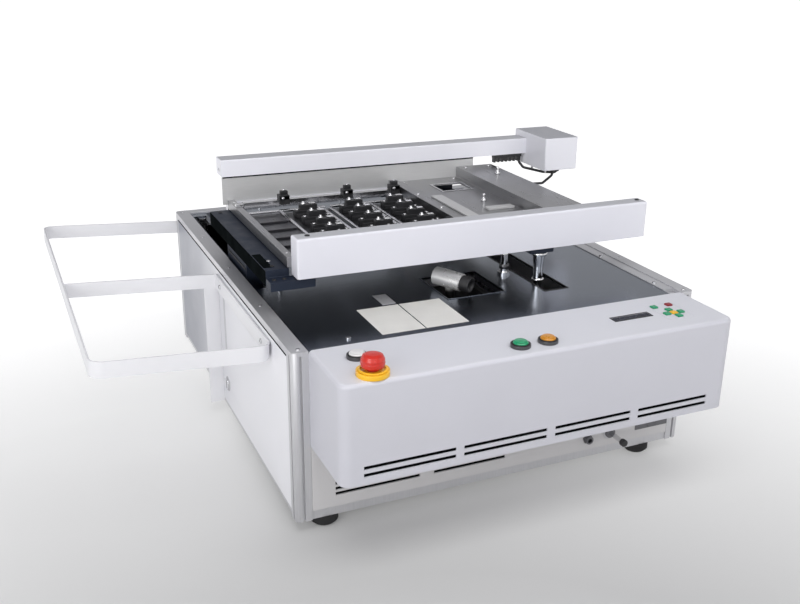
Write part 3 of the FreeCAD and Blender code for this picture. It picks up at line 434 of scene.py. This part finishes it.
# dark mouth ring; its lining inside the bore is painted shade that darkens the bore wall
lathe("nozzle_mouth_and_bore_shade", [(12.45, 0), (13.0, 0.6), (13.0, 16.2), (12.4, 17.1), (7.7, 17.1), (7.7, 2), (7.95, 2)], p0 + ax * 0.0503, ax, SATIN, "base", 40)
# solder in the bore, a dark disc that is also painted shade for the shaded throat
lathe("nozzle_solder_and_shade", [(0, 5.0), (7.5, 5.0), (7.5, 5.6), (5.0, 6.2), (0, 6.4)], p0 + ax * 0.0503, ax, CAST, "base", 32)
lathe("nozzle_base_nut", [(0, 258), (14, 258), (14, 268), (12, 270), (8, 270)], at(-22, 170, 0), (0, 0, 1), CAST, "base", 6)
lathe("flux_tip", [(4.6, 326), (6.0, 326), (3.0, 331), (1.4, 331), (1.4, 328), (0, 328)], at(100, 205, 0), (0, 0, 1), NOZZLE, "base", 32)
lathe("flux_hex", [(6.1, 300), (9.0, 300), (9.0, 307), (6.1, 307)], at(100, 205, 0), (0, 0, 1), DIM, "base", 6)
# front fittings
lathe("drain_flange", [(9, 0), (12.5, 0), (12.5, 1.4), (11.5, 2), (9, 2)], at(203, 0, 58), (0, -1, 0), PROFILE, "base", 32)
lathe("drain_grip", [(4.1, 0), (5.8, 0.6), (6.2, 2), (6.2, 8), (5.4, 9.2), (0, 9.4)], at(203, -37.5, 58), (0, -1, 0), SATIN, "drain_rod", 32)
lathe("air_hex", [(7.1, 0.2), (8.4, 0.2), (8.4, 4.5), (7.1, 4.5)], at(159.5, 0, 54), (0, -1, 0), DIM, "base", 6)
# back: fan grille, inlet pins, bare plate
bm = bmesh.new()
for rad in (12, 22, 32, 42):
    pts = [at(180 + rad * math.cos(2 * math.pi * k / 48), 801.4, 150 + rad * math.sin(2 * math.pi * k / 48)) for k in range(49)]
    add_tube(bm, pts, 0.8, 8)
for k in range(4):
    a = math.pi / 4 + k * math.pi / 2
    add_tube(bm, [at(180 + 10 * math.cos(a), 802.6, 150 + 10 * math.sin(a)), at(180 + 54 * math.cos(a), 802.6, 150 + 54 * math.sin(a))], 0.9, 8)
piece("fan_grille", bm, CHROME, "base")
heads("fan_screws", [(at(180 + 54 * math.cos(math.pi / 4 + k * math.pi / 2), 800, 150 + 54 * math.sin(math.pi / 4 + k * math.pi / 2)), (0, 1, 0))
                     for k in range(4)], 3.6, 2.0, CHROME, "base")
bm = bmesh.new()
for x, z in ((-219, 72), (-207, 72), (-213, 78)):
    add_box(bm, x - 1, x + 1, 781, 794, z - 2, z + 2, 0.3)
piece("inlet_pins", bm, BRASS, "base")
rbox("rear_blank_plate", -120, -40, 800, 800.5, 60, 100, PLATE, "base", 0.15, 1)

# ------------------------------------------------------------------ guard details
tilt = math.radians(3.3)


def gpt(dx, dz=0.0):
    return -353.2 + dx * math.cos(tilt), 259 + dz - dx * math.sin(tilt)


gx, gz = gpt(-1.5)
heads("guard_screws_side", [(at(gx, 140.5, gz), (-1, 0, -0.0577)), (at(gx, 400.5, gz), (-1, 0, -0.0577))], 4.2, 2.4, CHROME, "base")
heads("guard_screws_back", [(at(-338, 804 - 2.0, 259.5), (0, 1, 0))], 3.6, 1.6, CHROME, "base")
ex_, ez_ = gpt(-255.5 + 9)
heads("guard_screws_arm", [(at(ex_, 438, ez_), (0, 1, 0))], 3.6, 2.0, CHROME, "base")

# ------------------------------------------------------------------ stage details
heads("side_beam_screws", [(at(x, y, 362), (0, 0, 1)) for x in (-322, 147) for y in (180, 508)], 3.4, 1.6, SATIN, "y_stage")
# painted shade: a matte black sheet over the side beam's left flank, which sits in shade
rbox("beam_flank_shade", -337.8, -337.0, 164, 523, 337, 361.2, GLOOM, "y_stage", 0.3)
rbox("beam_notch_pad", -336.2, -322.5, 176, 246, 361.6, 362.5, GLOOM, "y_stage", 0.3)
lathe("beam_notch_screw", [(0, 0), (3.4, 0), (3.4, 1.1), (2.8, 1.6), (0, 1.6)], at(-320, 206, 362), (0, 0, 1), CHROME, "y_stage", 24)
heads("tongue_screws", [(at(x, y, 350), (0, 0, 1)) for x in (-328, -312) for y in (150, 550)], 3.2, 1.6, SATIN, "y_stage")
heads("x_rail_screws", [(at(x, y, 373), (0, 0, 1)) for x in range(-290, -20, 30) for y in (147,)]
      + [(at(x, 540, 373), (0, 0, 1)) for x in range(-290, -80, 30)], 2.4, 0.25, SATIN, "y_stage")
bm = bmesh.new()
for y in (147, 536):
    add_lathe(bm, [(11.2, 338), (13.6, 338.5), (13.6, 342.4), (11.4, 343)], at(134, y, 0), (0, 0, 1), 32)
    add_lathe(bm, [(8.05, 293), (10.5, 293), (10.5, 296), (8.1, 297.5)], at(134, y, 0), (0, 0, 1), 32)
piece("column_collars", bm, CHROME, "y_stage")
bm = bmesh.new()
add_box(bm, -320.2, -289.8, 356, 474, 300, 304, 0.5)
piece("saddle_band", bm, SATIN, "y_stage")

# ------------------------------------------------------------------ carriage details
heads("front_beam_screws", [(at(x, 145, 416), (0, 0, 1)) for x in (-276, 325)], 4.0, 1.2, SATIN, "carriage")
# painted shadow: a black strip for the shadow gap under the rear beam
rbox("rear_beam_gap_shade", -311, 198, 521.6, 523.2, 421.4, 424.0, GLOOM, "carriage", 0.2)
rbox("rear_plate_fold", -290, 12, 517.0, 523.0, 374.0, 377.5, BEAM, "carriage", 0.6)
heads("rear_beam_end", [(at(-313, 540, 434), (-1, 0, 0))], 3.4, 1.6, CHROME, "carriage")
heads("motor_box_screws", [(at(x, y, 467 - 0.9), (0, 0, 1)) for x in (327, 386) for y in (453, 556)], 2.8, 0.8, CHROME, "carriage")
bm = bmesh.new()
for cx in (-185, -98, -17):
    for cy in (231, 277, 323, 372, 418):
        for dx in (-21, 21):
            add_lathe(bm, [(0, 379), (3.2, 379), (3.2, 380.7), (2.4, 381.2), (0, 381.2)], at(cx + dx, cy, 0), (0, 0, 1), 16)
for cx in (-185, -98, -17):
    for cy in (231, 277, 323, 372, 418):
        add_lathe(bm, [(0, 388), (4.2, 388), (4.2, 390.5), (2.0, 391), (2.0, 393.5), (0, 393.5)], at(cx - 9, cy + 1.5, 0), (0, 0, 1), 16)
        add_box(bm, cx + 2, cx + 13, cy - 2.5, cy + 5, 388, 390.4, 0.5)
piece("pallet_block_screws", bm, CHROME, "carriage")
bm = bmesh.new()
for cx in (-185, -98, -17):
    for cy in (231, 277, 323, 372, 418):
        add_box(bm, cx - 24, cx + 24, cy - 10.5, cy - 7, 367, 374, 0.5)
        add_box(bm, cx - 9, cx + 9, cy + 7, cy + 13, 367, 380, 0.8)
piece("pallet_fingers", bm, SATIN, "carriage")
bm = bmesh.new()
for x in (-226, -148, -134, -62, -54, 11):
    add_box(bm, x - 3, x + 2.5, 184, 448, 367, 371.5, 0.5)
for y in (190, 442):
    add_box(bm, -290, -146, y - 4, y + 4, 371.5, 375.5, 0.6)
    add_box(bm, -134, 12, y - 4, y + 4, 371.5, 375.5, 0.6)
piece("pallet_bars", bm, GROUND, "carriage")
bm = bmesh.new()
for y in (254, 300, 347, 395):
    add_box(bm, -282, -231, y - 5, y + 5, 367, 370.5, 0.4)
piece("pallet_pads", bm, PALLET, "carriage")
heads("strip_screws", [(at(-298, y, 381), (0, 0, 1)) for y in (180, 500)], 2.6, 0.2, CHROME, "carriage")
heads("divider_screws", [(at(22, y, 392), (0, 0, 1)) for y in (176, 300, 400, 508)], 3.2, 1.6, CHROME, "carriage")
heads("tray_screws", [(at(x, y, 407), (0, 0, 1)) for x in (175, 226) for y in (176, 508)]
      + [(at(x, y, 387), (0, 0, 1)) for x in (42, 150) for y in (172, 510)], 2.8, 1.4, CHROME, "carriage")
bm = bmesh.new()
for x, y, z in ((209, 438, 407), (123, 331, 387)):
    add_lathe(bm, [(0, 0), (5, 0), (5, 3), (3, 4), (2.2, 9), (3.2, 12), (2.4, 14), (0, 14.4)], at(x, y, z), (0, 0, 1), 24)
piece("tray_knobs", bm, CHROME, "carriage")
bm = bmesh.new()
for x0, x1, y0, y1 in ((80, 84, 416, 474), (144, 148, 416, 474), (84, 144, 416, 420), (84, 144, 470, 474)):
    add_box(bm, x0, x1, y0, y1, 387, 388.6, 0.4)
piece("tray_window_frame", bm, GROUND, "carriage")
bm = bmesh.new()
add_box(bm, 44, 66, 190, 390, 387, 390, 0.6)
add_box(bm, 100, 152, 200, 216, 387, 391, 0.6)
add_box(bm, 100, 152, 268, 284, 387, 391, 0.6)
piece("tray_strips", bm, STEEL, "carriage")
# cables: ties and grommets on the lead from the rear beam to the drive box
bm = bmesh.new()
for c, d in (((330.2, 509.7, 396.9), (22, -24, -8)), ((349, 487.5, 389.6), (20, -12, -3)), ((300, 461.5, 374.2), (-55, -8, 4))):
    add_lathe(bm, [(2.7, -1.6), (3.3, -1.6), (3.3, 1.6), (2.7, 1.6)], at(*c), d, 20)
piece("cable_ties", bm, PALE, "carriage")
bm = bmesh.new()
add_lathe(bm, [(2.8, 399.6), (5.2, 399.6), (5.2, 393.5), (4.2, 391.5), (2.8, 391.5)], at(370, 478, 0), (0, 0, 1), 24)
add_lathe(bm, [(2.8, 399.6), (5.2, 399.6), (5.2, 393.5), (4.2, 391.5), (2.8, 391.5)], at(360, 478, 0), (0, 0, 1), 24)
piece("cable_grommets", bm, BLACK, "carriage")
# board rail clips: black jaws with silver thumb screws
bm = bmesh.new()
for x in (-215, -93, 2):
    add_box(bm, x - 9.4, x + 9.4, 459.6, 478.4, 387.9, 396.3, 1.0)
    add_box(bm, x - 9.4, x + 9.4, 459.6, 463.2, 379.8, 396.3, 0.8)
    add_box(bm, x - 4.3, x + 9.3, 469.8, 478.3, 395.9, 402.3, 0.9)
piece("rail_clip_covers", bm, BLACK, "board_rail")
bm = bmesh.new()
for x in (-215, -93, 2):
    add_lathe(bm, [(0, 402.2), (3.6, 402.2), (3.6, 404.4), (2.8, 405), (0, 405)], at(x + 2.5, 474, 0), (0, 0, 1), 20)
    add_lathe(bm, [(0, 0), (3.0, 0), (3.0, 3.5), (0, 3.5)], at(x - 4, 459.6, 392), (0, -1, 0), 16)
piece("rail_clip_screws", bm, CHROME, "board_rail")

# ------------------------------------------------------------------ stage, light, camera
FLOOR_NEAR, FLOOR_FAR, FLOOR_GLOW = 0.52, 1.90, 0.86
bpy.context.scene.view_settings.view_transform = "Standard"


def plane(name, x0, x1, y0, y1, z, mat):
    bm = bmesh.new()
    vs = [bm.verts.new((x, y, z)) for x, y in ((x0, y0), (x1, y0), (x1, y1), (x0, y1))]
    bm.faces.new(vs)
    me = bpy.data.meshes.new(name)
    bm.to_mesh(me)
    bm.free()
    me.materials.append(mat)
    ob = bpy.data.objects.new(name, me)
    bpy.context.scene.collection.objects.link(ob)
    return ob


FLOOR = mk("floor_pale", (0.56, 0.56, 0.555), 0.6, var=0.008, scale=3.0, spec=0.15)
# painted light: the floor glows, from none near the machine to strong far from it
nt = FLOOR.node_tree
ft = nt.nodes.new("ShaderNodeTexCoord")
dot = nt.nodes.new("ShaderNodeVectorMath")
dot.operation = "DISTANCE"
dot.inputs[1].default_value = (-0.25, -1.0, 0.0)
nt.links.new(ft.outputs["Object"], dot.inputs[0])
glow = nt.nodes.new("ShaderNodeMapRange")
glow.interpolation_type = "LINEAR"
glow.inputs["From Min"].default_value = FLOOR_NEAR
glow.inputs["From Max"].default_value = FLOOR_FAR
glow.inputs["To Min"].default_value = 0.0
glow.inputs["To Max"].default_value = FLOOR_GLOW
nt.links.new(dot.outputs["Value"], glow.inputs["Value"])
fb = nt.nodes["Principled BSDF"]
fb.inputs["Emission Color"].default_value = (1.0, 1.0, 1.0, 1.0)
nt.links.new(glow.outputs["Result"], fb.inputs["Emission Strength"])
plane("floor", -30, 30, -8, 60, -0.0005, FLOOR)

world = bpy.data.worlds.new("studio")
bpy.context.scene.world = world
world.use_nodes = True
wn = world.node_tree
bg = wn.nodes["Background"]
tc = wn.nodes.new("ShaderNodeTexCoord")
sep = wn.nodes.new("ShaderNodeSeparateXYZ")
wn.links.new(tc.outputs["Generated"], sep.inputs["Vector"])
ramp = wn.nodes.new("ShaderNodeValToRGB")
ramp.color_ramp.elements[0].position = 0.0
ramp.color_ramp.elements[0].color = (1.0, 1.0, 1.0, 1)
ramp.color_ramp.elements[1].position = 0.75
ramp.color_ramp.elements[1].color = (0.32, 0.32, 0.35, 1)
wn.links.new(sep.outputs["Z"], ramp.inputs["Fac"])
wn.links.new(ramp.outputs["Color"], bg.inputs["Color"])
bg.inputs["Strength"].default_value = 0.74


def area(name, loc, target, sx, sy, power, colour=(1, 1, 1)):
    light = bpy.data.lights.new(name, "AREA")
    light.shape = "RECTANGLE"
    light.size, light.size_y = sx, sy
    light.energy = power
    light.color = colour
    ob = bpy.data.objects.new(name, light)
    ob.location = loc
    ob.rotation_mode = "QUATERNION"
    ob.rotation_quaternion = (Vector(target) - Vector(loc)).to_track_quat("-Z", "Y")
    bpy.context.scene.collection.objects.link(ob)
    return ob


area("key_left", (-1.9, -1.6, 0.9), (-0.2, -0.3, 0.25), 1.2, 0.9, 18)
area("top_soft", (0.0, -0.9, 1.7), (0.05, -0.4, 0.2), 2.0, 0.9, 16)
area("fill_right", (2.4, -1.8, 1.6), (0.1, 0, 0.2), 1.6, 1.4, 6)
area("front_soft", (-0.3, -2.4, 1.5), (0.05, 0, 0.42), 2.0, 1.0, 6)

cam_data = bpy.data.cameras.new("camera")
cam = bpy.data.objects.new("camera", cam_data)
bpy.context.scene.collection.objects.link(cam)
yaw, pitch, roll = math.radians(25.26), math.radians(20.85), math.radians(1.20)
fwd = Vector((math.sin(yaw) * math.cos(pitch), math.cos(yaw) * math.cos(pitch), -math.sin(pitch)))
right = Vector((math.cos(yaw), -math.sin(yaw), 0.0))
up = right.cross(fwd)
r2 = right * math.cos(roll) + up * math.sin(roll)
u2 = up * math.cos(roll) - right * math.sin(roll)
rot = Matrix((r2, u2, -fwd)).transposed()
cam.matrix_world = Matrix.Translation(at(-710.6, -1206.1, 842.1)) @ rot.to_4x4()
cam_data.sensor_width = 36.0
cam_data.lens = 978.38 * 36.0 / 800.0
cam_data.shift_x = -(428.06 - 400.0) / 800.0
cam_data.shift_y = (306.73 - 302.0) / 800.0
cam_data.clip_start, cam_data.clip_end = 0.01, 60.0
bpy.context.scene.camera = cam
